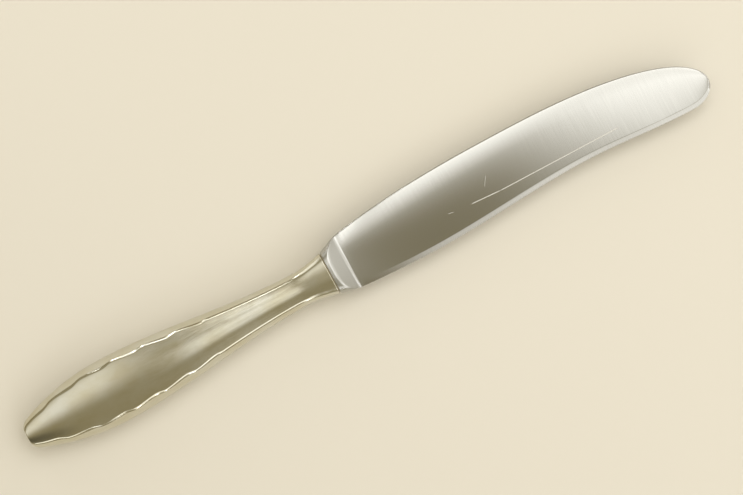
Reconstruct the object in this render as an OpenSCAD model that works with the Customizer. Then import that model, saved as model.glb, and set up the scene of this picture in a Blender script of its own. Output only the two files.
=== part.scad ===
// Dessert knife: a forged blade with bolster and tang, set in a hollow handle of two soldered half shells.
// Sections are drawn on the axis of the handle: x from butt to tip, y towards the spine, z out of the face.
// The finished knife lies on its back face, with the origin below the middle of its outline.

/* [Handle] */
// Length of the handle from the butt to the mouth
handle_l = 91.4; // [85:0.1:105]
// Width of the handle at its belly
belly_w = 18; // [15:0.1:21]
// Thickness of the handle at its belly
belly_t = 10.4; // [9:0.1:13]
// Distance of the belly from the butt
belly_x = 26; // [20:0.5:32]
// Width of the butt before its corners are rounded
butt_w = 7; // [5:0.1:10]
// Radius of the butt's corners
butt_corner = 1.6; // [0.8:0.1:2.2]
// Thickness of the handle at the butt
butt_t = 6; // [5:0.1:8]
// Length over which the butt's end rolls into the faces
butt_roll = 0.5; // [0.3:0.05:0.8]
// Share of the butt's thickness that stays flat at its end
butt_flat = 0.5; // [0.3:0.05:0.8]
// Width of the handle at its neck
neck_w = 9.3; // [8.5:0.1:12]
// Thickness of the handle at its neck
neck_t = 7; // [6.5:0.1:8.5]
// Distance of the neck from the mouth
neck_back = 9.4; // [7:0.1:14]
// Width of the handle at its mouth
mouth_w = 12.2; // [11:0.1:14]
// Thickness of the handle at its mouth
mouth_t = 8.2; // [7.5:0.1:10]
// Roundness of the mouth's section, where 2 is an ellipse
mouth_square = 3; // [2.2:0.1:4]
// Wall of the half shells
wall = 0.8; // [0.6:0.05:1.2]
// Rounding of the edges on both sides of the joint between handle and bolster
lip = 0.15; // [0.1:0.05:0.3]

/* [Wavy ridge] */
// Width of the side bevel at the belly
bevel_w = 2.05; // [1.5:0.05:2.5]
// Swelling of the side bevel, where 0 is straight and 1 leaves the seam upright
bevel_swell = 0.75; // [0:0.05:1]
// Rise of the crowned face from ridge to crest at the belly
crown_h = 1.1; // [0.6:0.05:1.6]
// Depth of the waves to each side of the ridge's mean line
wave_depth = 0.28; // [0:0.02:0.4]
// Length of one wave
wave_pitch = 9.6; // [8:0.1:10]
// Distance of the first wave from the butt
wave_start = 7.2; // [5:0.1:9]
// Share of a wave over which the ridge steps out, before it falls back
wave_rise = 0.33; // [0.2:0.01:0.5]
// Number of waves
wave_count = 6; // [3:1:7]
// Distance from the mouth at which the ridge starts to fade out
ridge_fade = 11; // [8:0.5:14]
// Distance from the mouth at which the ridge has gone
ridge_stop = 3; // [1:0.5:5]

/* [Joints] */
// Thickness of the solder between the half shells
solder_t = 0.2; // [0.1:0.05:0.3]
// Width of the cement line between the mouth and the bolster
joint_line = 0.25; // [0.15:0.05:0.4]
// Depth of the cement line below the surface
joint_depth = 0.3; // [0.2:0.05:0.5]
// Gap left round the cement by its shrinking
cement_gap = 0.05; // [0.03:0.01:0.1]

/* [Tang] */
// Length of the tang behind the bolster
tang_l = 62; // [40:1:70]
// Width of the tang at the bolster
tang_w = 6.2; // [5:0.1:6.6]
// Thickness of the tang at the bolster
tang_t = 4; // [3:0.1:4.6]
// Width of the tang at its end
tang_end_w = 3; // [2:0.1:4]
// Thickness of the tang at its end
tang_end_t = 2.2; // [1.6:0.1:3]
// Length of the point at the tang's end
tang_point = 3; // [1:0.5:6]
// Squareness of the tang's section, where 2 is an ellipse
tang_square = 4; // [3:0.5:6]

/* [Bolster] */
// Length of the bolster from its shoulder to the blade
bolster_l = 5.25; // [4.5:0.05:7]
// Length of the collar before the ground slope
collar_l = 1.25; // [0.8:0.05:2]
// Rise of the bolster's outline towards the spine, per unit of length
flare_spine = 0.43; // [0.3:0.01:0.5]
// Fall of the bolster's outline towards the edge, per unit of length
flare_edge = 0.26; // [0.15:0.01:0.35]
// Softness of the corners where the bolster runs into the blade
blend = 0.5; // [0.3:0.05:0.8]

/* [Blade] */
// Length of the blade from the bolster to the tip
blade_l = 108; // [95:0.5:130]
// Thickness of the blade at the bolster
blade_t = 2.3; // [1.8:0.1:3]
// Thickness of the blade towards the tip
blade_tip_t = 1.3; // [0.9:0.1:1.8]
// Height of the spine above the axis at the heel
spine_heel = 8.4; // [7.5:0.1:10]
// Height of the spine above the axis at its highest
spine_top = 11.8; // [10.5:0.1:14]
// Distance of the spine's highest place from the bolster
spine_top_x = 48; // [40:1:60]
// Depth of the tip below the axis
tip_drop = 2.3; // [0:0.1:4]
// Depth of the edge below the axis at the heel
edge_heel = 7.2; // [6.5:0.1:8]
// Depth of the edge below the axis at its belly
edge_belly = 8; // [7:0.1:8.8]
// Distance of the edge's belly from the bolster
edge_belly_x = 22; // [15:1:30]
// Depth of the edge below the axis at its hollow
edge_hollow = 5.95; // [5:0.05:7]
// Distance of the edge's hollow from the bolster
edge_hollow_x = 68; // [55:1:75]
// Depth of the edge below the axis at its toe
edge_toe = 7.55; // [6.5:0.05:8.5]
// Distance of the toe from the tip
edge_toe_back = 7.5; // [5:0.5:10]
// Share of the blade's thickness that is left at the spine
spine_share = 0.7; // [0.4:0.05:0.9]
// Place of the thickest line across the blade, from spine 0 to edge 1
thickest = 0.28; // [0.2:0.02:0.4]
// Height of the ground band along the cutting edge
band_h = 1.1; // [0.6:0.1:1.6]
// Thickness of the blade at the top of the ground band
band_t = 0.8; // [0.4:0.02:1]
// Thickness of the blade just above its cutting edge
edge_t = 0.12; // [0.06:0.02:0.2]

/* [Hidden] */

// Places along the axis
neck_x = handle_l - neck_back;
shoulder_x = handle_l + joint_line;
slope_x = shoulder_x + collar_l;
root_x = shoulder_x + bolster_l;
tip_x = root_x + blade_l;
tang_end_x = shoulder_x - tang_l;
top_x = root_x + spine_top_x;
edge_belly_at = root_x + edge_belly_x;
edge_hollow_at = root_x + edge_hollow_x;
toe_x = tip_x - edge_toe_back;
wave_last = wave_start + wave_pitch*(wave_count - 1);
wave_end = wave_last + wave_pitch*wave_rise;

// Length behind the bolster over which its slope runs out into the blade
run_out = 2;
// Half height of the blade near the tip below which it thins to its rim
tip_thin = 5;
// Exponents of the curves: the butt's taper, how bevel and crown shrink with the handle's width,
// and how the blade's lines bend
butt_bend = 2.1;
bevel_slim = 0.75;
crown_slim = 0.8;
spine_bend = 2.4;
tip_bend = 2.6;
toe_bend = 2.2;
wedge_bend = 1.25;
// Share of its size that the tang keeps at its point
point_share = 0.5;
// Angle on the tip's round at which the last section lies, just short of its end at 90
tip_stop = 88;

// Counts of facets along and around
side_n = 3;
crown_n = 5;
ring_n = 4*(side_n + crown_n);
butt_n = 9;
rise_n = 3;
fall_n = 5;
neck_n = 7;
flare_n = 6;
slope_n = 5;
blade_n = 9;
tip_n = 8;

// From the axis at the butt to the origin below the middle of the outline
to_origin = [-tip_x/2, (max(belly_w/2, edge_belly) - spine_top)/2, belly_t/2];

function mix(a, b, t) = a + (b - a)*t;
function ease(t) = let (u = max(0, min(1, t))) u*u*(3 - 2*u);
function steps(a, b, n, bias = 1) = [for (i = [0:n - 1]) mix(a, b, pow(i/n, bias))];
function power(a, e) = sign(a)*pow(abs(a), e);
function smooth_min(a, b, k) = min(a, b) - pow(max(k - abs(a - b), 0), 2)/(4*k);
function smooth_max(a, b, k) = -smooth_min(-a, -b, k);

// Shares of the way from the belly to the neck, and of the flare from the neck to the mouth
function to_neck(x) = ease((x - belly_x)/(neck_x - belly_x));
function to_mouth(x) = pow(max(0, x - neck_x)/neck_back, 2);

// Half width of the handle's outline: blunt butt with round corners, easy waist and flared mouth
function handle_half_w(x) =
    let (
        butt = (belly_w - butt_w)*pow(max(0, 1 - x/belly_x), butt_bend),
        corner = butt_corner - sqrt(pow(butt_corner, 2) - pow(max(0, butt_corner - x), 2)),
        waist = mix(belly_w, neck_w, to_neck(x)),
        flare = (mouth_w - neck_w)*to_mouth(x)
    )
    (waist - butt + flare)/2 - corner;

// Half thickness of the handle along its crest
function handle_half_t(x) =
    let (
        butt = (belly_t - butt_t)*pow(max(0, 1 - x/belly_x), 2),
        waist = mix(belly_t, neck_t, to_neck(x)),
        flare = (mouth_t - neck_t)*to_mouth(x)
    )
    (waist - butt + flare)/2;

// Depth by which the outside is cut back at the rounded lip of the mouth
function lip_cut(x) = max(0, x - handle_l + lip);

// Share of the height that is left where the butt's end rolls over
function roll_share(x) = sqrt(1 - (1 - pow(butt_flat, 2))*pow(max(0, 1 - x/butt_roll), 2));

// Waves of the ridge, each a step outwards and a slow fall, which fade in from the butt and out after the last one
function wave_at(x) =
    let (
        waves = (x - wave_start)/wave_pitch,
        part = waves - floor(waves),
        out = ease(part/wave_rise) - ease((part - wave_rise)/(1 - wave_rise))
    )
    wave_depth*(1 - 2*out)*ease(x/wave_start)*(1 - ease((x - wave_last)/(wave_end - wave_last)));

// Point of half a section: t runs from 0 at the seam over 1 at the ridge to 2 at the crest
// The outside has the waves and the rolled butt, and the inside has neither
function section_point(x, t, inset, outside) =
    let (
        w = handle_half_w(x) - inset,
        h = handle_half_t(x) - inset,
        slim = handle_half_w(x)/(belly_w/2),
        mean_bevel = bevel_w*pow(slim, bevel_slim),
        bevel = mean_bevel + (outside ? wave_at(x) : 0),
        crown = crown_h*pow(slim, crown_slim),
        ridge_y = w - bevel,
        ridge_z = h - crown*pow(ridge_y/(w - mean_bevel), 2),
        seam_z = solder_t/2,
        side = min(t, 1),
        y = t < 1 ? w - bevel*mix(side, side*side, bevel_swell) : ridge_y*(2 - t),
        z = t < 1 ? mix(seam_z, ridge_z, side) : h - crown*pow(y/(w - mean_bevel), 2),
        angle = 45*t,
        round_y = w*pow(cos(angle), 2/mouth_square),
        round_z = seam_z + (h - seam_z)*pow(sin(angle), 2/mouth_square),
        fade = ease((x - handle_l + ridge_fade)/(ridge_fade - ridge_stop))
    )
    [mix(y, round_y, fade), mix(seam_z, mix(z, round_z, fade), outside ? roll_share(x) : 1)];

// Half a section from the seam on the spine side over the crest to the seam on the edge side
function half_section(x, inset, outside) =
    let (near = [for (t = section_places) section_point(x, t, inset, outside)])
    concat(
        [for (p = near) [x, p.x, p.y]],
        [for (i = [side_n + crown_n - 1:-1:0]) [x, -near[i].x, near[i].y]]
    );
section_places = concat(steps(0, 1, side_n), steps(1, 2, crown_n), [2]);

// Places along the handle of its sections
handle_stations = concat(
    steps(0, butt_roll, 3, 2),
    steps(butt_roll, wave_start, butt_n, 1.35),
    [
        for (crest = [wave_start:wave_pitch:wave_last - wave_pitch/2])
            each concat(
                steps(crest, crest + wave_pitch*wave_rise, rise_n),
                steps(crest + wave_pitch*wave_rise, crest + wave_pitch, fall_n)
            )
    ],
    steps(wave_last, wave_end, rise_n),
    steps(wave_end, neck_x, neck_n),
    steps(neck_x, handle_l - lip, flare_n),
    [handle_l - lip, handle_l]
);
// The same places for the inside, which starts one wall further in
function inside_x(x) = mix(wall, handle_l, x/handle_l);

// Solid through rings of equal count, closed by faces that each name points of the first or the last ring
module loft(rings, first_faces, last_faces) {
    n = len(rings[0]);
    last = (len(rings) - 1)*n;
    sides = [
        for (i = [0:len(rings) - 2], j = [0:n - 1])
            let (a = i*n + j, b = i*n + (j + 1)%n)
                each [[a, a + n, b + n], [a, b + n, b]]
    ];
    ends = [for (face = last_faces) [for (k = face) last + k]];
    polyhedron([for (ring = rings) each ring], concat(sides, first_faces, ends));
}

// Solid through closed rings with a flat face at each end
module ring_loft(rings) {
    n = len(rings[0]);
    loft(rings, [[for (j = [0:n - 1]) j]], [[for (j = [n - 1:-1:0]) j]]);
}

// Half shell above the seam, hollow and open at the mouth
module half_shell() {
    half = ring_n/2 + 1;
    last = 2*half - 1;
    rings = [
        for (x = handle_stations)
            let (inner = half_section(inside_x(x), wall, false))
                concat(
                    half_section(x, lip_cut(x), true),
                    [for (i = [half - 1:-1:0]) inner[i]]
                )
    ];
    butt_faces = [
        [for (j = [0:half - 1]) j],
        [for (j = [half:last]) j],
        [0, half - 1, half, last]
    ];
    mouth_faces = [for (j = [0:half - 2]) [last - j, last - j - 1, j + 1, j]];
    loft(rings, butt_faces, mouth_faces);
}

module handle_front() {
    color("#cfc6b4")
        translate(to_origin)
            half_shell();
}

module handle_back() {
    color("#cfc6b4")
        translate(to_origin)
            mirror([0, 0, 1])
                half_shell();
}

// Strip between the rims of the two half shells, in a U round the butt
module seam_solder() {
    outer = [for (x = handle_stations) [x, handle_half_w(x) - lip_cut(x)]];
    inner = [for (x = handle_stations) [inside_x(x), handle_half_w(inside_x(x)) - wall]];
    n = len(outer);
    color("#d8d4ca")
        translate(to_origin)
            linear_extrude(solder_t, center = true)
                polygon(concat(
                    [for (i = [n - 1:-1:0]) outer[i]],
                    [for (p = outer) [p.x, -p.y]],
                    [for (i = [n - 1:-1:0]) [inner[i].x, -inner[i].y]],
                    inner
                ));
}

// Closed ring with the section of the handle's inside, both halves
function filling_ring(x, inset) =
    let (half = half_section(x, inset, false), n = len(half))
    concat(
        [for (i = [0:n - 2]) half[i]],
        [for (i = [n - 1:-1:1]) [half[i].x, half[i].y, -half[i].z]]
    );

// Closed oval ring, square to the axis
function oval_ring(x, y, half_w, half_t, square) = [
    for (j = [0:ring_n - 1])
        let (a = 360*j/ring_n)
            [x, y + half_w*power(cos(a), 2/square), half_t*power(sin(a), 2/square)]
];

// Ring of the tang with a gap round it, at a share of its size there
function tang_ring(x, gap, share = 1) =
    let (
        t = (shoulder_x - x)/tang_l,
        half_w = mix(tang_w, tang_end_w, t)/2*share,
        half_t = mix(tang_t, tang_end_t, t)/2*share
    )
    oval_ring(x, 0, half_w + gap, half_t + gap, tang_square);

// Rings of the tang from the bolster's shoulder to its blunt point
function tang_rings(gap) = [
    tang_ring(shoulder_x, gap),
    tang_ring(tang_end_x + tang_point, gap),
    tang_ring(tang_end_x - gap, gap, point_share)
];

// Filling between the shells and the tang, with the flange that shows as the cement line
module handle_cement() {
    inset = wall + cement_gap;
    line_w = mouth_w/2 - lip - joint_depth;
    line_t = mouth_t/2 - lip - joint_depth;
    stations = concat(
        steps(wall + cement_gap, belly_x, 9, 1.6),
        steps(belly_x, neck_x, 12),
        steps(neck_x, handle_l, flare_n),
        [handle_l]
    );
    color("#4a443c")
        translate(to_origin)
            ring_loft(concat(
                [for (x = stations) filling_ring(x, inset)],
                [for (x = [handle_l, shoulder_x]) oval_ring(x, 0, line_w, line_t, mouth_square)],
                tang_rings(cement_gap)
            ));
}

// Height of the blade's outline above the axis along the spine
function spine_y(x) =
    x < top_x
    ? spine_top - (spine_top - spine_heel)*pow((top_x - x)/spine_top_x, spine_bend)
    : -tip_drop + (spine_top + tip_drop)*sqrt(1 - pow(min(1, (x - top_x)/(tip_x - top_x)), tip_bend));

// Height of the blade's outline along the cutting edge: belly, hollow, toe and round tip
function edge_y(x) =
    x < edge_belly_at ? -edge_belly + (edge_belly - edge_heel)*pow((edge_belly_at - x)/edge_belly_x, 2)
    : x < edge_hollow_at
    ? -mix(edge_belly, edge_hollow, ease((x - edge_belly_at)/(edge_hollow_at - edge_belly_at)))
    : x < toe_x ? -mix(edge_hollow, edge_toe, ease((x - edge_hollow_at)/(toe_x - edge_hollow_at)))
    : -tip_drop - (edge_toe - tip_drop)*sqrt(1 - pow(min(1, (x - toe_x)/edge_toe_back), toe_bend));

// Outline from the shoulder on: the flared bolster runs into the blade
function top_y(x) = smooth_min(mouth_w/2 + flare_spine*(x - shoulder_x), spine_y(x), blend);
function bottom_y(x) = smooth_max(-mouth_w/2 - flare_edge*(x - shoulder_x), edge_y(x), blend);
function mid_y(x) = (top_y(x) + bottom_y(x))/2;
function half_h(x) = (top_y(x) - bottom_y(x))/2;

// Half thickness of the blade at a share s of its height, from the spine at 0 to the edge at 1:
// crowned below the spine, then a wedge, then the ground band
function blade_z(x, s) =
    let (
        full = mix(blade_t, blade_tip_t, (x - root_x)/blade_l),
        thin = sqrt(min(1, half_h(x)/tip_thin)),
        band_s = 1 - min(1 - thickest, band_h/(2*half_h(x)))*thin,
        t = s < thickest ? full*(1 - (1 - spine_share)*pow(1 - s/thickest, 2))
            : s < band_s ? mix(full, band_t, pow((s - thickest)/(band_s - thickest), wedge_bend))
            : mix(edge_t, band_t, (1 - s)/(1 - band_s))
    )
    t*thin/2;

// Ring of the blade, square to the axis
function blade_ring(x) = [
    for (j = [0:ring_n - 1])
        let (a = 360*j/ring_n)
            [x, mid_y(x) + half_h(x)*cos(a), sign(sin(a))*blade_z(x, (1 - cos(a))/2)]
];

// Places across and above the axis on the collar's section
function collar_across(a) = power(cos(a), 2/mouth_square);
function collar_z(a) = mouth_t/2*pow(abs(sin(a)), 2/mouth_square);

// Height of the ground slope, which falls straight to the foot of the blade's face at every place across
function slope_z(x, across) =
    let (foot_z = blade_z(root_x, (1 - across)/2))
    mix(mouth_t/2, foot_z, (x - slope_x)/(root_x - slope_x));

// Place of the brow, where the slope cuts the collar
function brow_x(a) =
    let (foot_z = blade_z(root_x, (1 - collar_across(a))/2))
    min(root_x, mix(slope_x, root_x, (mouth_t/2 - collar_z(a))/(mouth_t/2 - foot_z)));

// Ring of the collar: t runs from the shoulder at 0 to the brow at 1
function collar_ring(t) = [
    for (j = [0:ring_n - 1])
        let (a = 360*j/ring_n, x = mix(shoulder_x + lip, brow_x(a), t))
            [x, mid_y(x) + half_h(x)*collar_across(a), sign(sin(a))*collar_z(a)]
];

// Ring of the ground slope: t runs from its brow at 0 to the place on the blade where it has run out at 1
function slope_ring(t) = [
    for (j = [0:ring_n - 1])
        let (
            a = 360*j/ring_n,
            x = mix(brow_x(a), root_x + run_out, t),
            across = mix(collar_across(a), cos(a), t),
            flat_z = blade_z(x, (1 - across)/2),
            ground_z = min(collar_z(a), smooth_max(slope_z(x, across), flat_z, blend)),
            z = brow_x(a) < root_x ? mix(ground_z, max(ground_z, flat_z), t) : mix(collar_z(a), flat_z, t)
        )
            [x, mid_y(x) + half_h(x)*across, sign(sin(a))*z]
];

// Places along the blade of its sections
blade_stations = concat(
    steps(root_x + run_out, top_x, blade_n),
    steps(top_x, toe_x, blade_n),
    [for (i = [0:tip_n - 1]) mix(toe_x, tip_x, sin(tip_stop*i/(tip_n - 1)))]
);

// One forging: tang, shoulder, collar, ground slope and blade
module blade() {
    tang = tang_rings(0);
    color("#b9bbbc")
        translate(to_origin)
            ring_loft(concat(
                [tang[2], tang[1], tang[0]],
                [oval_ring(shoulder_x, 0, mouth_w/2 - lip, mouth_t/2 - lip, mouth_square)],
                [for (t = [0, 0.5]) collar_ring(t)],
                [for (i = [0:slope_n - 1]) slope_ring(i/slope_n)],
                [for (x = blade_stations) blade_ring(x)]
            ));
}

blade();
handle_front();
handle_back();
seam_solder();
handle_cement();
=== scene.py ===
"""Dessert knife: smooth handle shells, a ground blade and metal finishes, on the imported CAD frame.

Sizes are in millimetres on the handle's axis, as in the part's source: x from the butt to the tip,
y towards the spine, z from the seam out of the front face. Pieces are placed in metres, in the row
frame.
"""

import math

import bpy
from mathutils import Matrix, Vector


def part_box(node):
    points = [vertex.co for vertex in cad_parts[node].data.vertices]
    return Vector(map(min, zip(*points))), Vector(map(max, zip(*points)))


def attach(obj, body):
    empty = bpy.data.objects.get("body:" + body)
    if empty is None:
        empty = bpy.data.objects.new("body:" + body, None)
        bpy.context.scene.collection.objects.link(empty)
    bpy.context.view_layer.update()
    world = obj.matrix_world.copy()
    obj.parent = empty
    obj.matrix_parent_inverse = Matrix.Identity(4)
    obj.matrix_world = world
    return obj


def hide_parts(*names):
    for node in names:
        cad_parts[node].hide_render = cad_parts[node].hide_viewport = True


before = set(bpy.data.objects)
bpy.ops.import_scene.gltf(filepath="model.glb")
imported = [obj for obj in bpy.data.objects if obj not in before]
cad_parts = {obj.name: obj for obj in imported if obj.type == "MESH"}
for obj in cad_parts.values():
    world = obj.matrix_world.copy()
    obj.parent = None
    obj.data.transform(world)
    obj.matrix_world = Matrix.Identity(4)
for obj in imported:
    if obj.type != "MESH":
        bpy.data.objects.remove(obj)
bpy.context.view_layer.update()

MM = 0.001

front_low, front_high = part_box("handle_front")
back_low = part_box("handle_back")[0]
blade_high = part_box("blade")[1]

# Butt end of the handle's axis, on the plane of the seam
BUTT = Vector((
    front_low.x,
    (front_low.y + front_high.y) / 2,
    (back_low.z + front_high.z) / 2,
))

# Handle: the sizes of its half shells, each one an input of their node tree. Ends: _w width,
# _t thickness, _x place along the axis, _bend and _slim powers of a curve.
mouth_w = 12.2
mouth_t = 8.2
mouth_square = 3.0  # power of the oval section, 2 for an ellipse
lip = 0.15  # rounding of the mouth's and the shoulder's rim
wave_pitch = 9.6
wave_start = 7.2
wave_count = 6
HANDLE = {
    "length": (front_high.x - front_low.x) / MM,
    "belly_w": (front_high.y - front_low.y) / MM,
    "belly_t": (front_high.z - back_low.z) / MM,
    "belly_x": 26.0,
    "butt_w": 7.0,
    "butt_t": 6.0,
    "butt_corner": 1.6,  # rounding of the outline's two corners
    "butt_bend": 2.1,
    "butt_roll": 0.5,  # rounding from the face to the end
    "neck_w": 9.3,
    "neck_t": 7.0,
    "neck_back": 9.4,  # from the mouth back to the neck
    "mouth_w": mouth_w,
    "mouth_t": mouth_t,
    "mouth_square": mouth_square,
    "wall": 0.8,
    "lip": lip,
    "bevel_w": 2.05,
    "bevel_slim": 0.75,
    "bevel_swell": 0.75,  # 0 for a flat side, 1 for a parabola
    "crown_h": 1.1,
    "crown_slim": 0.8,
    "ridge_round": 0.5,
    "ridge_fade": 11.0,  # from the mouth back to where the ridges start to fade
    "ridge_stop": 3.0,  # and to where they are gone
    "wave_depth": 0.28,
    "wave_pitch": wave_pitch,
    "wave_start": wave_start,
    "wave_rise": 0.33,  # share of a wave in which the ridge steps out
    "wave_last": wave_start + wave_pitch * (wave_count - 1),
    "solder_t": 0.2,
}

# Tang, bolster and blade
joint_line = 0.25
tang_l = 62.0
tang_w = 6.2
tang_t = 4.0
tang_end_w = 3.0
tang_end_t = 2.2
tang_point = 3.0  # length of the pointed end
tang_point_share = 0.5  # its size at the very end
tang_square = 4.0
bolster_l = 5.25
collar_l = 1.25
flare_spine = 0.43  # how fast the bolster widens towards the spine
flare_edge = 0.26  # and towards the edge
blend = 0.5  # rounding where the bolster's outline meets the blade's
brow_round = 0.4  # rounding at the top of the ground slope
foot_round = 0.4  # and at its foot
run_out = 2.0  # length past the foot by which the sections have become the blade's
blade_t = 2.3
blade_tip_t = 1.3
spine_heel = 8.4
spine_top = (blade_high.y - BUTT.y) / MM
spine_top_x = 48.0
spine_bend = 2.4
spine_share = 0.7  # the spine's thickness, as a share of the greatest
spine_round = 0.35
tip_drop = 2.3  # the tip's height below the axis
tip_bend = 2.6
tip_thin = 5.0  # half height below which the blade thins towards the tip
tip_stop = math.radians(88)  # the last section lies just short of the tip
edge_heel = 7.2
edge_belly = 8.0
edge_belly_x = 22.0
edge_hollow = 5.95
edge_hollow_x = 68.0
edge_toe = 7.55
edge_toe_back = 7.5
edge_t = 0.12
toe_bend = 2.2
thickest = 0.28  # place of the greatest thickness, as a share of the way to the edge
wedge_bend = 1.7  # a little fuller than the solid's wedge, for a soft shading across the face
band_h = 1.1  # height of the ground band along the edge
band_t = 0.8

# Places along the axis
shoulder_x = HANDLE["length"] + joint_line
slope_x = shoulder_x + collar_l
root_x = shoulder_x + bolster_l
tip_x = (blade_high.x - BUTT.x) / MM
tang_end_x = shoulder_x - tang_l
top_x = root_x + spine_top_x
edge_belly_at = root_x + edge_belly_x
edge_hollow_at = root_x + edge_hollow_x
toe_x = tip_x - edge_toe_back


def linear(hex_colour):
    """Linear RGBA of an sRGB hex colour."""
    values = [int(hex_colour[i:i + 2], 16) / 255 for i in (1, 3, 5)]
    return (*[v / 12.92 if v <= 0.04045 else ((v + 0.055) / 1.055) ** 2.4 for v in values], 1)


def add_node(tree, kind, inputs=(), out=0, **settings):
    """Adds a node with its settings, fills its inputs by place or name, and returns an output.

    An input that takes many links is filled from a list.
    """
    node = tree.nodes.new(kind)
    for name, value in settings.items():
        setattr(node, name, value)
    if not isinstance(inputs, dict):
        inputs = dict(enumerate(inputs))
    for place, value in inputs.items():
        for item in value if isinstance(value, list) else [value]:
            if isinstance(item, bpy.types.NodeSocket):
                tree.links.new(item, node.inputs[place])
            else:
                node.inputs[place].default_value = item
    return node.outputs[out] if node.outputs else node


# MATERIALS

# Roughness of each finish, over the range of its lines where it has two values
SILVER_ROUGHNESS = (0.12, 0.16)
STEEL_ROUGHNESS = (0.11, 0.13)
BOLSTER_ROUGHNESS = 0.27
SCRATCH_ROUGHNESS = 0.55
CEMENT_ROUGHNESS = 0.8
# How far the steel's reflections are drawn out by its grinding lines
GRINDING_STRETCH = 0.3
# Most values of a noise lie between these
NOISE_LOW = 0.3
NOISE_HIGH = 0.7

# Scratches of the blade: where they start and end, and half their width
SCRATCHES = (
    ((133.0, -1.65), (142.5, -2.2), 0.18),
    ((141.5, -2.18), (178.0, -2.35), 0.18),
    ((138.4, 0.3), (140.6, 3.6), 0.06),
    ((126.2, -0.9), (128.8, -1.5), 0.09),
)
# Lengths over which a scratch fades at its ends, the front face's mask above the seam's plane,
# and the bolster's finish before its foot
SCRATCH_FADE = 1.5
FRONT_FADE = 0.1
BOLSTER_FADE = 1.0


def new_material(name):
    """Material with a bare tree, and its places in millimetres on the knife's axis."""
    material = bpy.data.materials.new(name)
    material.use_nodes = True
    tree = material.node_tree
    tree.nodes.clear()
    place = add_node(tree, "ShaderNodeTexCoord", out="Object")
    place = add_node(
        tree, "ShaderNodeMapping",
        {"Vector": place, "Location": tuple(-BUTT / MM), "Scale": (1 / MM, 1 / MM, 1 / MM)},
    )
    return material, tree, place


def pattern(tree, place, size, detail, low=0, high=1):
    """Noise with features of a size in millimetres along each axis, that runs from low to high."""
    scale = tuple(1 / s for s in size)
    place = add_node(tree, "ShaderNodeMapping", {"Vector": place, "Scale": scale})
    noise = add_node(tree, "ShaderNodeTexNoise", {"Vector": place, "Scale": 1.0, "Detail": detail})
    return add_node(tree, "ShaderNodeMapRange", [noise, NOISE_LOW, NOISE_HIGH, low, high])


def two_tone(tree, share, first, second):
    """Colour that goes from a first to a second one as the share goes from 0 to 1."""
    # The node's inputs 6 and 7 and its output 2 are the ones for colours
    tones = {0: share, 6: first, 7: second}
    return add_node(tree, "ShaderNodeMix", tones, out=2, data_type="RGBA")


def relief(tree, height, depth, strength):
    """Surface normals of a fine relief, with its depth in millimetres."""
    inputs = {"Strength": strength, "Distance": depth * MM, "Height": height}
    return add_node(tree, "ShaderNodeBump", inputs)


def finish(tree, looks):
    """Surface shader with its looks, linked to the material's output."""
    shader = add_node(tree, "ShaderNodeBsdfPrincipled", looks)
    add_node(tree, "ShaderNodeOutputMaterial", [shader])


def scratch(tree, place, start, end, width):
    """Mask of a straight scratch in the front face, between two places on the knife's axis."""
    way = Vector((*end, 0)) - Vector((*start, 0))
    length = way.length
    way.normalize()
    aside = Vector((-way.y, way.x, 0))
    from_start = add_node(
        tree, "ShaderNodeVectorMath", [place, (*start, 0)], operation="SUBTRACT"
    )
    run, off = [
        add_node(
            tree, "ShaderNodeVectorMath", [from_start, axis], out="Value", operation="DOT_PRODUCT"
        )
        for axis in (way, aside)
    ]
    off = add_node(tree, "ShaderNodeMath", [off], operation="ABSOLUTE")
    height = add_node(tree, "ShaderNodeSeparateXYZ", [place], out="Z")
    mask = add_node(tree, "ShaderNodeMapRange", [height, 0, FRONT_FADE, 0, 1])
    for value_and_range in (
        [off, 0, width, 1, 0],
        [run, 0, SCRATCH_FADE, 0, 1],
        [run, length - SCRATCH_FADE, length, 1, 0],
    ):
        part = add_node(
            tree, "ShaderNodeMapRange", value_and_range, interpolation_type="SMOOTHSTEP"
        )
        mask = add_node(tree, "ShaderNodeMath", [mask, part], operation="MULTIPLY")
    return mask


def silver_plate():
    """Silver plate on nickel silver, buffed by hand and dulled by use.

    It gives soft, clear reflections with a warm cast, faint buffing lines along the handle and
    slight tarnish.
    """
    material, tree, place = new_material("buffed_silver_plate")
    tarnish = pattern(tree, place, size=(9, 5, 5), detail=3)
    # Buffing lines are some hundredths of a millimetre wide and are drawn wider so that they show
    low, high = SILVER_ROUGHNESS
    buffing = pattern(tree, place, size=(6, 0.3, 0.3), detail=4, low=low, high=high)
    dents = pattern(tree, place, size=(4, 3, 3), detail=2, low=-0.5, high=0.5)
    finish(tree, {
        "Base Color": two_tone(tree, tarnish, linear("#dad9cf"), linear("#d0cbb6")),
        "Metallic": 1.0,
        "Roughness": buffing,
        "Normal": relief(tree, dents, depth=0.1, strength=0.03),
    })
    return material


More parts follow.
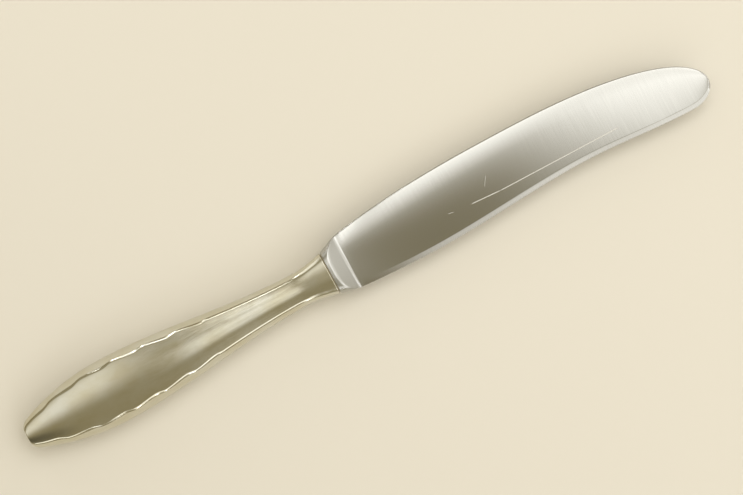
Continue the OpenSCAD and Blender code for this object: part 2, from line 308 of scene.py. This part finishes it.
def ground_steel():
    """Stainless blade steel, ground across the blade and worn by washing.

    It gives broad reflections that run along the blade, fine lines across it, a duller bolster and
    a few scratches, rougher than the face, whose lighter colour is a painted sheen.
    """
    material, tree, place = new_material("ground_stainless_steel")
    # Grinding lines are finer than a pixel of the render and are drawn wider so that they show
    lines = pattern(tree, place, size=(0.35, 11, 11), detail=5)
    roughness = add_node(tree, "ShaderNodeMapRange", [lines, 0, 1, *STEEL_ROUGHNESS])
    # The bolster is buffed by hand and duller than the ground blade
    along = add_node(tree, "ShaderNodeSeparateXYZ", [place], out="X")
    roughness = add_node(
        tree, "ShaderNodeMapRange",
        [along, root_x - BOLSTER_FADE, root_x + run_out, BOLSTER_ROUGHNESS, roughness],
        interpolation_type="SMOOTHSTEP",
    )
    colour = two_tone(tree, lines, linear("#bcbcb9"), linear("#b8b8b5"))
    # A scratch scatters the light that the ground face mirrors through its raised roughness; its
    # colour is also lightened towards white, a painted sheen on top of the real scratch
    scratch_and_sheen = 0.0
    for start, end, width in SCRATCHES:
        mask = scratch(tree, place, start, end, width)
        scratch_and_sheen = add_node(tree, "ShaderNodeMath", [scratch_and_sheen, mask], operation="MAXIMUM")
    finish(tree, {
        # Scratched places are lightened towards a near white colour: painted sheen, while their
        # roughness below is real
        "Base Color": two_tone(tree, scratch_and_sheen, colour, linear("#e4e2dc")),
        "Metallic": 1.0,
        "Roughness": add_node(
            tree, "ShaderNodeMapRange", [scratch_and_sheen, 0, 1, roughness, SCRATCH_ROUGHNESS]
        ),
        "Anisotropic": GRINDING_STRETCH,
        "Normal": relief(tree, lines, depth=0.05, strength=0.01),
        "Tangent": add_node(
            tree, "ShaderNodeTangent", direction_type="UV_MAP", uv_map="along_blade"
        ),
    })
    return material


def handle_cement():
    """Resin and chalk cement, dull and light brown.

    It gives a matt line with a fine grain between the handle and the bolster.
    """
    material, tree, place = new_material("resin_cement")
    grain = pattern(tree, place, size=(0.3, 0.3, 0.3), detail=4)
    finish(tree, {
        "Base Color": two_tone(tree, grain, linear("#b4a688"), linear("#ccbfa2")),
        "Roughness": CEMENT_ROUGHNESS,
        "Normal": relief(tree, grain, depth=0.05, strength=0.4),
    })
    return material


silver = silver_plate()
steel = ground_steel()
cement = handle_cement()

# HANDLE SHELLS

# Counts of points along and across a half shell, and how much they crowd towards its two ends
SHELL_ALONG = 300
SHELL_ACROSS = 97
CROWDING = 1.5
# Shares of the way from the seam to the crest at which the side and the rounded ridge end
SIDE_END = 0.26
ROUND_END = 0.46

# The rule of a half shell: each row names a value, how it is made, and what it is made from.
# u runs from the butt to the mouth, v across the face from seam to seam, and face is 1 in front
# and -1 behind.
SHELL_RULE = (
    # Place along the handle
    ("butt_pull", "POWER", "u", CROWDING),
    ("u_left", "SUBTRACT", 1, "u"),
    ("mouth_pull", "POWER", "u_left", CROWDING),
    ("pull", "ADD", "butt_pull", "mouth_pull"),
    ("along", "DIVIDE", "butt_pull", "pull"),
    ("x", "MULTIPLY", "along", "length"),
    # Width: blunt butt with round corners, easy waist and flared mouth
    ("to_belly", "SUBTRACT", "belly_x", "x"),
    ("butt_run", "MAXIMUM", "to_belly", 0),
    ("butt_share", "DIVIDE", "butt_run", "belly_x"),
    ("butt_taper", "POWER", "butt_share", "butt_bend"),
    ("butt_slim", "SUBTRACT", "butt_w", "belly_w"),
    ("neck_x", "SUBTRACT", "length", "neck_back"),
    ("waist_w", "SMOOTHSTEP", "x", "belly_x", "neck_x", "belly_w", "neck_w"),
    ("butt_and_waist", "MULTIPLY_ADD", "butt_taper", "butt_slim", "waist_w"),
    ("flare_way", "LINEAR", "x", "neck_x", "length", 0, 1),
    ("flare", "POWER", "flare_way", 2),
    ("flare_w", "SUBTRACT", "mouth_w", "neck_w"),
    ("flared", "MULTIPLY_ADD", "flare", "flare_w", "butt_and_waist"),
    ("corner_way", "LINEAR", "x", 0, "butt_corner", 1, 0),
    ("corner_bend", "POWER", "corner_way", 2),
    ("corner_rest", "SUBTRACT", 1, "corner_bend"),
    ("corner_round", "SQRT", "corner_rest"),
    ("corner_gap", "SUBTRACT", "corner_round", 1),
    ("corner_cut", "MULTIPLY", "corner_gap", "butt_corner"),
    ("width", "MULTIPLY_ADD", "corner_cut", 2, "flared"),
    # Thickness along the crest
    ("waist_t", "SMOOTHSTEP", "x", "belly_x", "neck_x", "belly_t", "neck_t"),
    ("butt_fall", "POWER", "butt_share", 2),
    ("butt_drop", "SUBTRACT", "butt_t", "belly_t"),
    ("thin_butt", "MULTIPLY_ADD", "butt_fall", "butt_drop", "waist_t"),
    ("flare_t", "SUBTRACT", "mouth_t", "neck_t"),
    ("thickness", "MULTIPLY_ADD", "flare", "flare_t", "thin_butt"),
    # Rounded lip of the mouth
    ("lip_start", "SUBTRACT", "length", "lip"),
    ("lip_way", "LINEAR", "x", "lip_start", "length", 0, 1),
    ("lip_bend", "POWER", "lip_way", 2),
    ("lip_rest", "SUBTRACT", 1, "lip_bend"),
    ("lip_round", "SQRT", "lip_rest"),
    ("lip_gap", "SUBTRACT", "lip_round", 1),
    ("lip_cut", "MULTIPLY", "lip_gap", "lip"),
    ("half_w", "MULTIPLY_ADD", "width", 0.5, "lip_cut"),
    ("half_t", "MULTIPLY_ADD", "thickness", 0.5, "lip_cut"),
    # Bevel with its waves, and the crowned face between the ridges
    ("slim", "DIVIDE", "width", "belly_w"),
    ("slim_bevel", "POWER", "slim", "bevel_slim"),
    ("mean_bevel", "MULTIPLY", "slim_bevel", "bevel_w"),
    ("slim_crown", "POWER", "slim", "crown_slim"),
    ("crown", "MULTIPLY", "slim_crown", "crown_h"),
    ("wave_in", "SMOOTHSTEP", "x", 0, "wave_start", 0, "wave_depth"),
    ("wave_end", "MULTIPLY_ADD", "wave_pitch", "wave_rise", "wave_last"),
    ("wave_out", "SMOOTHSTEP", "x", "wave_last", "wave_end", 1, 0),
    ("wave_run", "SUBTRACT", "x", "wave_start"),
    ("waves_run", "DIVIDE", "wave_run", "wave_pitch"),
    ("wave_part", "FRACT", "waves_run"),
    ("step_out", "SMOOTHSTEP", "wave_part", 0, "wave_rise", 0, 1),
    ("fall_back", "SMOOTHSTEP", "wave_part", "wave_rise", 1, 0, 1),
    ("outwards", "SUBTRACT", "step_out", "fall_back"),
    ("wave_swing", "MULTIPLY_ADD", "outwards", -2, 1),
    ("wave", "MULTIPLY", "wave_swing", "wave_in"),
    ("bevel", "MULTIPLY_ADD", "wave", "wave_out", "mean_bevel"),
    ("ridge_y", "SUBTRACT", "half_w", "bevel"),
    ("mean_y", "SUBTRACT", "half_w", "mean_bevel"),
    ("mean_square", "POWER", "mean_y", 2),
    ("bow", "DIVIDE", "crown", "mean_square"),
    ("ridge_square", "POWER", "ridge_y", 2),
    ("ridge_drop", "MULTIPLY", "ridge_square", "bow"),
    ("ridge_z", "SUBTRACT", "half_t", "ridge_drop"),
    # Place across the half section
    ("v_turned", "MULTIPLY_ADD", "v", -2, 1),
    ("v_away", "ABSOLUTE", "v_turned"),
    ("up", "SUBTRACT", 1, "v_away"),
    ("side_way", "LINEAR", "up", 0, SIDE_END, 0, 1),
    ("round_way", "LINEAR", "up", SIDE_END, ROUND_END, 0, 1),
    ("crown_way", "LINEAR", "up", ROUND_END, 1, 1, 0),
    # Swelling side from the seam up
    ("seam_z", "MULTIPLY", "solder_t", 0.5),
    ("side_h", "SUBTRACT", "ridge_z", "seam_z"),
    ("round_share", "DIVIDE", "ridge_round", "side_h"),
    ("side_share", "SUBTRACT", 1, "round_share"),
    ("rise", "MULTIPLY", "side_way", "side_share"),
    ("rise_square", "POWER", "rise", 2),
    ("swelling", "MULTIPLY", "rise_square", "bevel_swell"),
    ("straight", "SUBTRACT", 1, "bevel_swell"),
    ("lean", "MULTIPLY_ADD", "rise", "straight", "swelling"),
    ("side_in", "MULTIPLY", "lean", "bevel"),
    ("side_y", "SUBTRACT", "half_w", "side_in"),
    ("side_z", "MULTIPLY_ADD", "rise", "side_h", "seam_z"),
    # Crowned face
    ("crown_edge", "SUBTRACT", "ridge_y", "ridge_round"),
    ("crown_y", "MULTIPLY", "crown_edge", "crown_way"),
    ("crown_square", "POWER", "crown_y", 2),
    ("crown_drop", "MULTIPLY", "crown_square", "bow"),
    ("crown_z", "SUBTRACT", "half_t", "crown_drop"),
    # Rounded ridge, a curve from the side to the face that the sharp ridge pulls on
    ("side_to_ridge_y", "LINEAR", "round_way", 0, 1, "side_y", "ridge_y"),
    ("ridge_to_crown_y", "LINEAR", "round_way", 0, 1, "ridge_y", "crown_y"),
    ("ridged_y", "LINEAR", "round_way", 0, 1, "side_to_ridge_y", "ridge_to_crown_y"),
    ("side_to_ridge_z", "LINEAR", "round_way", 0, 1, "side_z", "ridge_z"),
    ("ridge_to_crown_z", "LINEAR", "round_way", 0, 1, "ridge_z", "crown_z"),
    ("ridged_z", "LINEAR", "round_way", 0, 1, "side_to_ridge_z", "ridge_to_crown_z"),
    # Oval section of the mouth, into which the ridges fade
    ("turn", "MULTIPLY", "up", math.pi / 2),
    ("turn_cos", "COSINE", "turn"),
    ("turn_sin", "SINE", "turn"),
    ("oval_power", "DIVIDE", 2, "mouth_square"),
    ("oval_across", "POWER", "turn_cos", "oval_power"),
    ("oval_up", "POWER", "turn_sin", "oval_power"),
    ("oval_y", "MULTIPLY", "oval_across", "half_w"),
    ("half_h", "SUBTRACT", "half_t", "seam_z"),
    ("oval_z", "MULTIPLY_ADD", "oval_up", "half_h", "seam_z"),
    ("fade_start", "SUBTRACT", "length", "ridge_fade"),
    ("fade_end", "SUBTRACT", "length", "ridge_stop"),
    ("fade", "SMOOTHSTEP", "x", "fade_start", "fade_end", 0, 1),
    ("section_y", "LINEAR", "fade", 0, 1, "ridged_y", "oval_y"),
    ("section_z", "LINEAR", "fade", 0, 1, "ridged_z", "oval_z"),
    # End of the butt, which rolls over to the seam
    ("roll_way", "LINEAR", "x", 0, "butt_roll", 1, 0),
    ("roll_bend", "POWER", "roll_way", 2),
    ("roll_rest", "SUBTRACT", 1, "roll_bend"),
    ("roll", "SQRT", "roll_rest"),
    ("section_h", "SUBTRACT", "section_z", "seam_z"),
    ("rolled_h", "MULTIPLY", "section_h", "roll"),
    ("rolled_z", "ADD", "rolled_h", "seam_z"),
    # Sides and faces: the points turn the same way round the outside on both shells
    ("v_side", "SIGN", "v_turned"),
    ("side_sign", "MULTIPLY", "v_side", "face"),
    ("mirrored_y", "MULTIPLY", "section_y", "side_sign"),
    ("y", "MULTIPLY", "mirrored_y", -1),
    ("z", "MULTIPLY", "rolled_z", "face"),
    # Way from the outside to the inside of the wall
    ("along_left", "SUBTRACT", 1, "along"),
    ("in_x", "MULTIPLY", "along_left", "wall"),
    ("wall_y", "DIVIDE", "wall", "half_w"),
    ("in_y", "MULTIPLY", "wall_y", "mirrored_y"),
    ("wall_z", "DIVIDE", "wall", "half_h"),
    ("thinner", "MULTIPLY", "wall_z", "rolled_h"),
    ("back_face", "MULTIPLY", "face", -1),
    ("in_z", "MULTIPLY", "thinner", "back_face"),
)
# Edges that turn by more than this stay sharp, and points nearer than this in metres become one
SHARP_ANGLE = math.radians(40)
WELD = 1e-7


def shell_tree():
    """Tree of a half shell: a grid bent by the rule, given its wall and closed along its rims."""
    tree = bpy.data.node_groups.new("handle_half_shell", "GeometryNodeTree")
    tree.interface.new_socket("Shell", in_out="OUTPUT", socket_type="NodeSocketGeometry")
    for name in [*HANDLE, "face"]:
        tree.interface.new_socket(name, in_out="INPUT", socket_type="NodeSocketFloat")
    sizes = add_node(tree, "NodeGroupInput").node.outputs
    values = {name: sizes[name] for name in [*HANDLE, "face"]}

    grid = add_node(tree, "GeometryNodeMeshGrid", [1.0, 1.0, SHELL_ALONG, SHELL_ACROSS])
    places = add_node(tree, "ShaderNodeSeparateXYZ", [grid.node.outputs["UV Map"]])
    values["u"] = places
    values["v"] = places.node.outputs[1]
    for name, way, *sources in SHELL_RULE:
        inputs = [values.get(source, source) for source in sources]
        if way in ("LINEAR", "SMOOTHSTEP"):
            values[name] = add_node(tree, "ShaderNodeMapRange", inputs, interpolation_type=way)
        else:
            values[name] = add_node(tree, "ShaderNodeMath", inputs, operation=way)

    outside, inwards = [
        add_node(tree, "ShaderNodeCombineXYZ", [values[name] for name in names])
        for names in (("x", "y", "z"), ("in_x", "in_y", "in_z"))
    ]
    outside = add_node(
        tree, "ShaderNodeVectorMath", [outside, (MM, MM, MM), tuple(BUTT)], operation="MULTIPLY_ADD"
    )
    inwards = add_node(
        tree, "ShaderNodeVectorMath", {0: inwards, "Scale": MM}, operation="SCALE"
    )

    outer = add_node(tree, "GeometryNodeSetPosition", {"Geometry": grid, "Position": outside})
    inner = add_node(
        tree, "GeometryNodeExtrudeMesh", {"Mesh": outer, "Offset Scale": 0.0, "Individual": False}
    )
    inner = add_node(
        tree, "GeometryNodeSetPosition",
        {"Geometry": inner, "Selection": inner.node.outputs["Top"], "Offset": inwards},
    )
    inner = add_node(tree, "GeometryNodeFlipFaces", [inner])
    shell = add_node(tree, "GeometryNodeJoinGeometry", [[outer, inner]])
    shell = add_node(tree, "GeometryNodeMergeByDistance", {"Geometry": shell, "Distance": WELD})
    shell = add_node(tree, "GeometryNodeSetShadeSmooth", {"Geometry": shell, "Shade Smooth": True})
    angle = add_node(tree, "GeometryNodeInputMeshEdgeAngle")
    sharp = add_node(tree, "FunctionNodeCompare", [angle, SHARP_ANGLE], operation="GREATER_THAN")
    shell = add_node(
        tree, "GeometryNodeSetShadeSmooth",
        {"Geometry": shell, "Selection": sharp, "Shade Smooth": False}, domain="EDGE",
    )
    shell = add_node(tree, "GeometryNodeRealizeInstances", [shell])
    shell = add_node(tree, "GeometryNodeSetMaterial", {"Geometry": shell, "Material": silver})
    add_node(tree, "NodeGroupOutput", [shell])
    return tree


def half_shell(name, tree, face):
    """Plain mesh piece of one half shell."""
    piece = bpy.data.objects.new(name, bpy.data.meshes.new(name))
    bpy.context.scene.collection.objects.link(piece)
    modifier = piece.modifiers.new("shell", "NODES")
    modifier.node_group = tree
    values = {**HANDLE, "face": face}
    for socket in tree.interface.items_tree:
        if socket.in_out == "INPUT":
            modifier[socket.identifier] = float(values[socket.name])
    evaluated = piece.evaluated_get(bpy.context.evaluated_depsgraph_get())
    mesh = bpy.data.meshes.new_from_object(evaluated)
    piece.modifiers.clear()
    piece.data = mesh
    return piece


# BLADE

# Counts of points round a section, and of sections along each stretch
RING_N = 128
LIP_N = 3
COLLAR_N = 16
SLOPE_N = 48
BLADE_N = 150
TIP_N = 30


def mix(a, b, t):
    """Value that goes straight from a to b as t goes from 0 to 1."""
    return a + (b - a) * t


def ease(t):
    """Way from 0 to 1 that starts and ends level."""
    t = min(1, max(0, t))
    return t * t * (3 - 2 * t)


def power(value, exponent):
    """Power of a value's size, with its sign kept."""
    return math.copysign(abs(value) ** exponent, value)


def smooth_min(a, b, k):
    """Lower of two values, rounded where they are less than k apart."""
    return min(a, b) - max(k - abs(a - b), 0) ** 2 / (4 * k)


def smooth_max(a, b, k):
    """Higher of two values, rounded where they are less than k apart."""
    return -smooth_min(-a, -b, k)


def spine_y(x):
    """Height of the spine's line above the axis."""
    if x < top_x:
        return spine_top - (spine_top - spine_heel) * ((top_x - x) / spine_top_x) ** spine_bend
    fall = min(1, (x - top_x) / (tip_x - top_x)) ** tip_bend
    return -tip_drop + (spine_top + tip_drop) * math.sqrt(1 - fall)


def edge_y(x):
    """Height of the cutting edge: belly, hollow, toe and round tip."""
    if x < edge_belly_at:
        return -edge_belly + (edge_belly - edge_heel) * ((edge_belly_at - x) / edge_belly_x) ** 2
    if x < edge_hollow_at:
        run = (x - edge_belly_at) / (edge_hollow_at - edge_belly_at)
        return -mix(edge_belly, edge_hollow, ease(run))
    if x < toe_x:
        run = (x - edge_hollow_at) / (toe_x - edge_hollow_at)
        return -mix(edge_hollow, edge_toe, ease(run))
    fall = min(1, (x - toe_x) / edge_toe_back) ** toe_bend
    return -tip_drop - (edge_toe - tip_drop) * math.sqrt(1 - fall)


def outline(x):
    """Middle and half height of the outline, where the flared bolster runs into the blade."""
    top = smooth_min(mouth_w / 2 + flare_spine * (x - shoulder_x), spine_y(x), blend)
    bottom = smooth_max(-mouth_w / 2 - flare_edge * (x - shoulder_x), edge_y(x), blend)
    return (top + bottom) / 2, (top - bottom) / 2


def blade_z(x, across):
    """Half thickness of the blade: rounded spine, crowned face, wedge and ground band.

    The place across goes from 1 at the spine to -1 at the edge.
    """
    half_h = outline(x)[1]
    s = (1 - across) / 2
    full = mix(blade_t, blade_tip_t, (x - root_x) / (tip_x - root_x))
    thin = math.sqrt(min(1, half_h / tip_thin))
    band_s = 1 - min(1 - thickest, band_h / (2 * half_h)) * thin
    if s < thickest:
        t = full * (1 - (1 - spine_share) * (1 - s / thickest) ** 2)
    elif s < band_s:
        t = mix(full, band_t, ((s - thickest) / (band_s - thickest)) ** wedge_bend)
    else:
        t = mix(edge_t, band_t, (1 - s) / (1 - band_s))
    rolled = math.sqrt(1 - max(0, 1 - 2 * half_h * s / spine_round) ** 2)
    return t * thin / 2 * rolled


def ring(point):
    """Closed ring of places that point gives for angles, from the spine over the front face."""
    return [point(math.tau * j / RING_N) for j in range(RING_N)]


def oval(x, half_w, half_t, square):
    """Ring of a squarish oval."""
    def point(a):
        across = power(math.cos(a), 2 / square)
        up = power(math.sin(a), 2 / square)
        return x, half_w * across, half_t * up
    return ring(point)


def tang_ring(x, share=1):
    """Ring of the tapered tang, with a share of its size."""
    t = (shoulder_x - x) / tang_l
    half_w = mix(tang_w, tang_end_w, t) / 2 * share
    half_t = mix(tang_t, tang_end_t, t) / 2 * share
    return oval(x, half_w, half_t, tang_square)


def collar_point(a):
    """Share across and height on the collar's section at an angle."""
    across = power(math.cos(a), 2 / mouth_square)
    height = mouth_t / 2 * abs(math.sin(a)) ** (2 / mouth_square)
    return across, height


def slope_z(x, across):
    """Height of the ground slope, which falls straight to the foot of the blade's face."""
    return mix(mouth_t / 2, blade_z(root_x, across), (x - slope_x) / (root_x - slope_x))


def brow_x(a):
    """Place of the brow, where the slope cuts the collar."""
    across, height = collar_point(a)
    foot_z = blade_z(root_x, across)
    return min(root_x, mix(slope_x, root_x, (mouth_t / 2 - height) / (mouth_t / 2 - foot_z)))


def collar_ring(t):
    """Ring of the collar, from the shoulder at 0 to the brow at 1."""
    def point(a):
        across, height = collar_point(a)
        x = mix(shoulder_x + lip, brow_x(a), t)
        mid_y, half_h = outline(x)
        if brow_x(a) < root_x:
            height = smooth_min(height, slope_z(x, across), brow_round)
        return x, mid_y + half_h * across, math.copysign(height, math.sin(a))
    return ring(point)


def slope_ring(t):
    """Ring of the ground slope, from its brow at 0 to where it has run out on the blade at 1."""
    def point(a):
        across, height = collar_point(a)
        across = mix(across, math.cos(a), t)
        x = mix(brow_x(a), root_x + run_out, t)
        mid_y, half_h = outline(x)
        flat_z = blade_z(x, across)
        ground_z = smooth_max(slope_z(x, across), flat_z, foot_round)
        ground_z = smooth_min(height, ground_z, brow_round)
        if brow_x(a) < root_x:
            z = mix(ground_z, max(ground_z, flat_z), t)
        else:
            z = mix(height, flat_z, t)
        return x, mid_y + half_h * across, math.copysign(z, math.sin(a))
    return ring(point)


def blade_ring(x):
    """Ring of the blade."""
    mid_y, half_h = outline(x)

    def point(a):
        across = math.cos(a)
        return x, mid_y + half_h * across, math.copysign(blade_z(x, across), math.sin(a))
    return ring(point)


def forging():
    """Tang, shoulder, collar, slope and blade as one closed mesh, with a UV map along the blade."""
    rings = [
        tang_ring(tang_end_x, tang_point_share),
        tang_ring(tang_end_x + tang_point),
        tang_ring(shoulder_x),
    ]
    for i in range(LIP_N):
        turn = math.pi / 2 * i / LIP_N
        inset = lip * (1 - math.sin(turn))
        x = shoulder_x + lip * (1 - math.cos(turn))
        rings.append(oval(x, mouth_w / 2 - inset, mouth_t / 2 - inset, mouth_square))
    rings += [collar_ring(math.sin(math.pi / 2 * i / COLLAR_N)) for i in range(COLLAR_N)]
    rings += [slope_ring(i / SLOPE_N) for i in range(SLOPE_N)]
    rings += [blade_ring(mix(root_x + run_out, toe_x, i / BLADE_N)) for i in range(BLADE_N)]
    for i in range(TIP_N):
        turn = tip_stop * i / (TIP_N - 1)
        rings.append(blade_ring(mix(toe_x, tip_x, math.sin(turn))))

    points = [BUTT + Vector(p) * MM for r in rings for p in r]
    last = len(points) - RING_N
    faces = [tuple(reversed(range(RING_N))), tuple(range(last, last + RING_N))]
    for start in range(0, last, RING_N):
        for j in range(RING_N):
            k = (j + 1) % RING_N
            faces.append((start + j, start + k, start + RING_N + k, start + RING_N + j))

    mesh = bpy.data.meshes.new("blade_smooth")
    mesh.from_pydata(points, [], faces)
    mesh.shade_smooth()
    mesh.set_sharp_from_angle(angle=SHARP_ANGLE)
    along = mesh.uv_layers.new(name="along_blade")
    for loop, uv in zip(mesh.loops, along.uv):
        place = mesh.vertices[loop.vertex_index].co
        uv.vector = (place.x, place.y)
    mesh.materials.append(steel)
    piece = bpy.data.objects.new("blade_smooth", mesh)
    bpy.context.scene.collection.objects.link(piece)
    return piece


shell = shell_tree()
for piece, node, slot in (
    (half_shell("handle_front_smooth", shell, 1), "handle_front", "handle_silver"),
    (half_shell("handle_back_smooth", shell, -1), "handle_back", "handle_silver"),
    (forging(), "blade", "blade_steel"),
):
    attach(piece, "root")
    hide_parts(node)

for node, material in (("seam_solder", silver), ("handle_cement", cement)):
    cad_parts[node].data.materials.clear()
    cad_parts[node].data.materials.append(material)

# FLOOR, LIGHT AND CAMERA

FLOOR_SIZE = 8.0
# Overhead lamps hang at this height, each a step above the last
LAMP_Z = 1.0
LAMP_STEP = 0.01
# The heel's lamp hangs low, so that the neck, a little to its left, mirrors the room beside it
HEEL_LAMP_Z = 0.3
# Share of a side lamp's half size in which it fades at its edges
SIDE_SOFT = 0.3
# Angle from the middle of the room's dark corner to its rim
DARK_SPREAD = math.radians(18)


def pale_floor():
    """Pale matt board under the knife."""
    material, tree, _ = new_material("pale_board")
    finish(tree, {
        "Base Color": linear("#f0ebe0"),
        "Roughness": 0.9,
        "Specular IOR Level": 0.1,
    })
    half = FLOOR_SIZE / 2
    corners = [(-half, -half, 0), (half, -half, 0), (half, half, 0), (-half, half, 0)]
    mesh = bpy.data.meshes.new("floor")
    mesh.from_pydata(corners, [], [(0, 1, 2, 3)])
    mesh.materials.append(material)
    floor = bpy.data.objects.new("floor", mesh)
    bpy.context.scene.collection.objects.link(floor)


def softbox(name, x, y, radiance, soft):
    """Lamp overhead that faces down, from a first to a last place along x and along y.

    Its radiance, 1 for white, fades over a soft width along x and y at its edges.
    """
    width = x[1] - x[0]
    depth = y[1] - y[0]
    lamp = bpy.data.lights.new(name, "AREA")
    lamp.shape = "RECTANGLE"
    lamp.size = width
    lamp.size_y = depth
    lamp.energy = radiance * math.pi * width * depth
    lamp.use_nodes = True
    tree = lamp.node_tree
    tree.nodes.clear()
    place = add_node(tree, "ShaderNodeTexCoord", out="UV")
    axes = add_node(tree, "ShaderNodeSeparateXYZ", [place]).node
    fades = []
    for axis, soft_share in ((0, soft[0] / width), (1, soft[1] / depth)):
        to_edge = add_node(
            tree, "ShaderNodeMath", [axes.outputs[axis], 0.5], operation="PINGPONG"
        )
        fades.append(add_node(
            tree, "ShaderNodeMapRange", [to_edge, 0, soft_share, 0, 1],
            interpolation_type="SMOOTHSTEP",
        ))
    strength = add_node(tree, "ShaderNodeMath", fades, operation="MULTIPLY")
    glow = add_node(tree, "ShaderNodeEmission", {"Strength": strength})
    add_node(tree, "ShaderNodeOutputLight", [glow])
    light = bpy.data.objects.new(name, lamp)
    height = LAMP_Z + LAMP_STEP * len(bpy.data.lights)
    light.location = ((x[0] + x[1]) / 2, (y[0] + y[1]) / 2, height)
    bpy.context.scene.collection.objects.link(light)
    return light


def side_lamp(name, place, size, radiance):
    """Low lamp of a width and height that faces the knife."""
    half_w = size[0] / 2
    half_h = size[1] / 2
    soft = (half_w * SIDE_SOFT, half_h * SIDE_SOFT)
    light = softbox(name, (-half_w, half_w), (-half_h, half_h), radiance, soft)
    light.location = place
    light.rotation_euler = (-Vector(place)).to_track_quat("-Z", "Y").to_euler()


def soft_room(colour, dark_way, dark_share):
    """World of one warm tone, darker where the room has no light, at the butt's lower left."""
    world = bpy.data.worlds.new("soft_room")
    bpy.context.scene.world = world
    world.use_nodes = True
    tree = world.node_tree
    tree.nodes.clear()
    way = add_node(tree, "ShaderNodeTexCoord", out="Generated")
    near = add_node(
        tree, "ShaderNodeVectorMath", [way, Vector(dark_way).normalized()],
        out="Value", operation="DOT_PRODUCT",
    )
    shade = add_node(
        tree, "ShaderNodeMapRange", [near, math.cos(DARK_SPREAD), 1, 1, dark_share],
        interpolation_type="SMOOTHSTEP",
    )
    background = add_node(tree, "ShaderNodeBackground", [linear(colour), shade])
    add_node(tree, "ShaderNodeOutputWorld", [background])


pale_floor()
soft_room(colour="#9f9578", dark_way=(-0.616, -0.342, 0.709), dark_share=0.35)

# Upper half of the handle's face
softbox("window", x=(-1.10, -0.07), y=(-0.17, 1.05), radiance=0.64, soft=(0.22, 0.53))
# Light streak along the neck
softbox("over_neck", x=(-0.10, -0.01), y=(-0.32, 0.33), radiance=1.15, soft=(0.04, 0.25))
# Spine half of the blade, its tip, and the foot of the bolster's slope
softbox("over_spine", x=(-0.035, 0.95), y=(-0.12, 1.10), radiance=1.95, soft=(0.06, 0.46))
softbox("over_tip", x=(0.13, 0.98), y=(-0.33, 0.22), radiance=1.45, soft=(0.14, 0.26))
softbox("over_slope", x=(0.85, 2.40), y=(-0.70, 0.80), radiance=0.58, soft=(0.20, 0.30))
# Ground band along the edge, with more of it towards the toe
softbox("over_edge", x=(-0.04, 1.90), y=(-1.90, -0.22), radiance=0.68, soft=(0.10, 0.20))
softbox("over_toe", x=(0.16, 1.90), y=(-1.60, -0.18), radiance=0.50, soft=(0.12, 0.20))
# Spine at the heel
over_heel = softbox("over_heel", x=(-0.033, 0.002), y=(0.0, 0.23), radiance=2.7, soft=(0.016, 0.12))
over_heel.location.z = HEEL_LAMP_Z

# Ground slope of the bolster, and the tip's rim
side_lamp("right_wall", place=(1.04, 0.2, 0.42), size=(3.2, 0.85), radiance=0.57)
# Line along the lower ridge
side_lamp("front_left", place=(-0.76, -1.0, 0.60), size=(0.56, 0.50), radiance=1.2)
side_lamp("front_mid", place=(0.0, -1.0, 0.60), size=(0.72, 0.50), radiance=1.2)
# Bright spots where the waves of the ridges step out
side_lamp("back_glint", place=(-0.18, 1.1, 0.30), size=(0.08, 0.20), radiance=8.0)
side_lamp("front_glint", place=(-0.18, -1.1, 0.30), size=(0.08, 0.20), radiance=6.0)
# Upper flank of the flared mouth
side_lamp("back_flank", place=(-0.082, 0.24, 0.090), size=(0.052, 0.18), radiance=0.95)
# Line along the neck's upper ridge
side_lamp("back_line", place=(-0.03, 1.1, 0.70), size=(0.09, 0.30), radiance=4.0)

# The photograph looks straight down, with the knife turned so that its tip points up to the right.
# Its width is in metres at the seam, and its middle in millimetres on the knife's axis.
IMAGE_WIDTH = 198.1 * MM
IMAGE_MIDDLE = (104.5, 0.78)
IMAGE_TURN = math.radians(-28.38)
lens = bpy.data.cameras.new("photo_camera")
lens.lens = 85
lens.sensor_width = 36
camera = bpy.data.objects.new("photo_camera", lens)
camera.location = BUTT + Vector((*IMAGE_MIDDLE, 0)) * MM
camera.location.z += IMAGE_WIDTH * lens.lens / lens.sensor_width
camera.rotation_euler.z = IMAGE_TURN
bpy.context.scene.collection.objects.link(camera)
bpy.context.scene.camera = camera
bpy.context.scene.view_settings.view_transform = "Standard"
